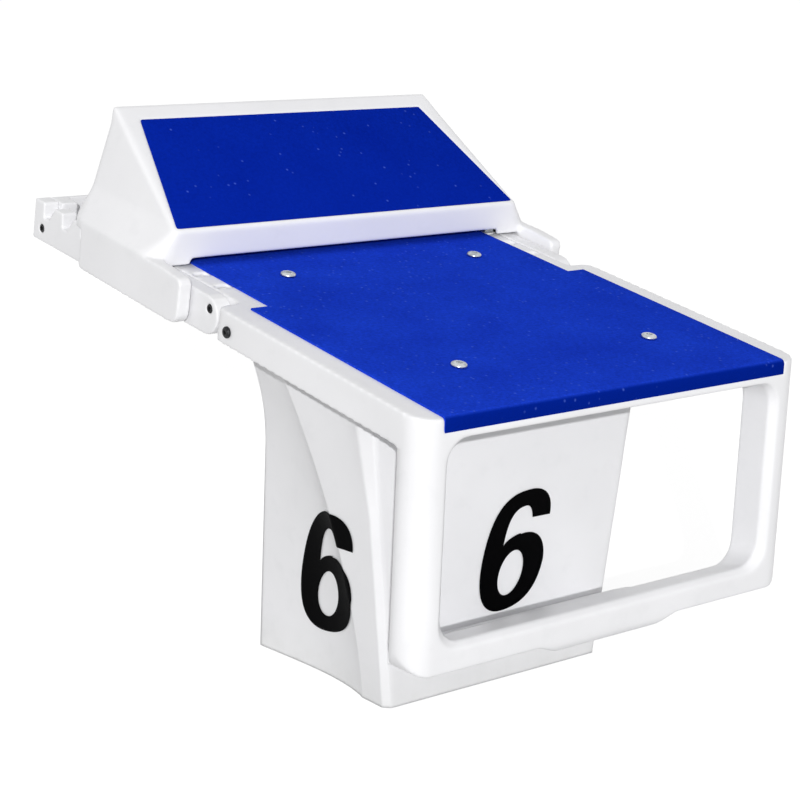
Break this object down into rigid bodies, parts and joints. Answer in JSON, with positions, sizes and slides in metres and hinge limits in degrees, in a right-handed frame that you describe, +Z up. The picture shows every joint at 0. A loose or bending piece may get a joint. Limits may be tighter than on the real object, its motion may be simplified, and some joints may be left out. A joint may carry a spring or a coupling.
{
  "type": "swimming starting block",
  "caption": "Sloping starting platform with a front grip frame, on a flared pedestal, with a kick plate that slides on notched rails behind the deck.",
  "frame": {"origin": "middle of the base plate's underside, on the pool deck", "axes": "+Z up, +Y from the pool side to the back, +X to the right for someone who looks at the front from the water"},
  "size_m": [0.576, 0.7575, 0.6155],
  "materials": {
    "gelcoat": "glossy white gel coat",
    "tread": "granular anti-slip surface",
    "numeral": "satin vinyl",
    "stainless": "brushed stainless steel",
    "galvanised": "hot-dip galvanised steel",
    "black_bolt": "blackened steel",
    "glide": "smooth black polyethylene"
  },
  "bodies": {
    "block": {"deck_bolt_front_left": "stainless", "deck_bolt_front_right": "stainless", "deck_bolt_rear_left": "stainless", "deck_bolt_rear_right": "stainless", "deck_frame": "galvanised", "deck_nut_front_left": "stainless", "deck_nut_front_right": "stainless", "deck_nut_rear_left": "stainless", "deck_nut_rear_right": "stainless", "deck_tread": "tread", "frame_bolt_front_left": "stainless", "frame_bolt_front_right": "stainless", "frame_bolt_rear_left": "stainless", "frame_bolt_rear_right": "stainless", "front_numeral": "numeral", "left_numeral": "numeral", "pedestal_shell": "gelcoat", "platform_moulding": "gelcoat", "rail_bolt_front_left": "black_bolt", "rail_bolt_front_right": "black_bolt", "rail_bolt_middle_left": "black_bolt", "rail_bolt_middle_right": "black_bolt", "rail_bolt_rear_left": "black_bolt", "rail_bolt_rear_right": "black_bolt", "rail_left": "gelcoat", "rail_right": "gelcoat", "rear_cross_member": "gelcoat", "right_numeral": "numeral", "side_bolt_left": "black_bolt", "side_bolt_right": "black_bolt", "support_post": "galvanised", "web_bolt_left": "stainless", "web_bolt_right": "stainless"},
    "kick_plate": {"glide_pad_front_left": "glide", "glide_pad_front_right": "glide", "glide_pad_rear_left": "glide", "glide_pad_rear_right": "glide", "guide_pin_front_left": "stainless", "guide_pin_front_right": "stainless", "guide_pin_rear_left": "stainless", "guide_pin_rear_right": "stainless", "kick_plate_shell": "gelcoat", "kick_tread": "tread"},
    "lock": {"front_lock_bar": "stainless", "lock_link_left": "stainless", "lock_link_right": "stainless", "rear_lock_bar": "stainless", "release_handle": "stainless"}
  },
  "joints": [
    {"name": "kick_plate_slide", "type": "slide", "parent": "block", "child": "kick_plate", "axis": [0, 0.9893, 0.1461], "range_m": [-0.043, 0.129]},
    {"name": "lock_drop", "type": "slide", "parent": "kick_plate", "child": "lock", "axis": [0, 0.1461, -0.9893], "range_m": [0, 0.0185]}
  ]
}
